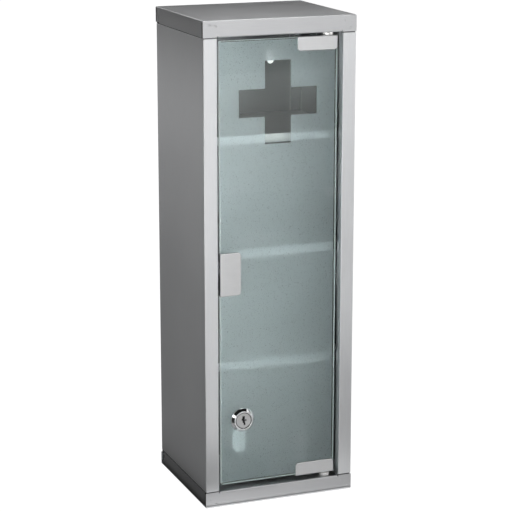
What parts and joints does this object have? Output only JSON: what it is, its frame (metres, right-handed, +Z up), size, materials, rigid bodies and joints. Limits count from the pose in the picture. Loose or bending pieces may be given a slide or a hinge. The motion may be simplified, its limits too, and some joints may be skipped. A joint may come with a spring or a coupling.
{
  "type": "glass door medical cabinet",
  "caption": "Tall stainless sheet wall cabinet with folded end trays, shelves and an inset glass door on pivot clips, with a steel pull, a magnetic catch and a cam lock.",
  "frame": {"origin": "centre of the underside of the bottom tray", "axes": "+Z up, +Y towards the wall behind the cabinet, so the door faces -Y; +X towards the hinge side, on the right of a person who faces the door"},
  "size_m": [0.195, 0.172, 0.6],
  "materials": {
    "sheet_steel": "brushed",
    "clip_steel": "satin",
    "fastener_steel": "bright",
    "lock_chrome": "polished",
    "door_glass": "frosted",
    "white_nylon": "matte",
    "black_plastic": "matte",
    "clear_liner": "matte",
    "black_rubber": "matte",
    "ferrite": "matte"
  },
  "bodies": {
    "cabinet": {"top_tray": "sheet_steel", "bottom_tray": "sheet_steel", "left_side_panel": "sheet_steel", "right_side_panel": "sheet_steel", "back_panel": "sheet_steel", "shelf_1": "sheet_steel", "shelf_2": "sheet_steel", "shelf_3": "sheet_steel", "catch_housing": "black_plastic", "catch_magnet": "ferrite", "catch_pole_upper": "fastener_steel", "catch_pole_lower": "fastener_steel", "catch_screw_1": "fastener_steel", "catch_screw_2": "fastener_steel", "top_pivot_bush": "white_nylon", "bottom_pivot_bush": "white_nylon"},
    "door": {"door_glass": "door_glass", "top_pivot_pin": "fastener_steel", "bottom_pivot_pin": "fastener_steel", "top_hinge_clip": "clip_steel", "bottom_hinge_clip": "clip_steel", "top_hinge_liner": "clear_liner", "bottom_hinge_liner": "clear_liner", "top_hinge_screw_1": "fastener_steel", "top_hinge_screw_2": "fastener_steel", "bottom_hinge_screw_1": "fastener_steel", "bottom_hinge_screw_2": "fastener_steel", "pull_clip": "clip_steel", "pull_liner": "black_rubber", "lock_housing": "lock_chrome", "lock_gasket": "black_rubber", "lock_washer": "black_rubber", "lock_nut": "fastener_steel"},
    "lock": {"lock_plug": "lock_chrome", "lock_cam": "fastener_steel", "cam_screw": "fastener_steel"}
  },
  "joints": [
    {"name": "door_hinge", "type": "hinge", "parent": "cabinet", "child": "door", "pos_m": [0.065, -0.075, 0.3], "axis": [0, 0, 1], "range_deg": [0, 120]},
    {"name": "lock_turn", "type": "hinge", "parent": "door", "child": "lock", "pos_m": [-0.0468, -0.075, 0.1075], "axis": [0, 1, 0], "range_deg": [0, 90]}
  ]
}
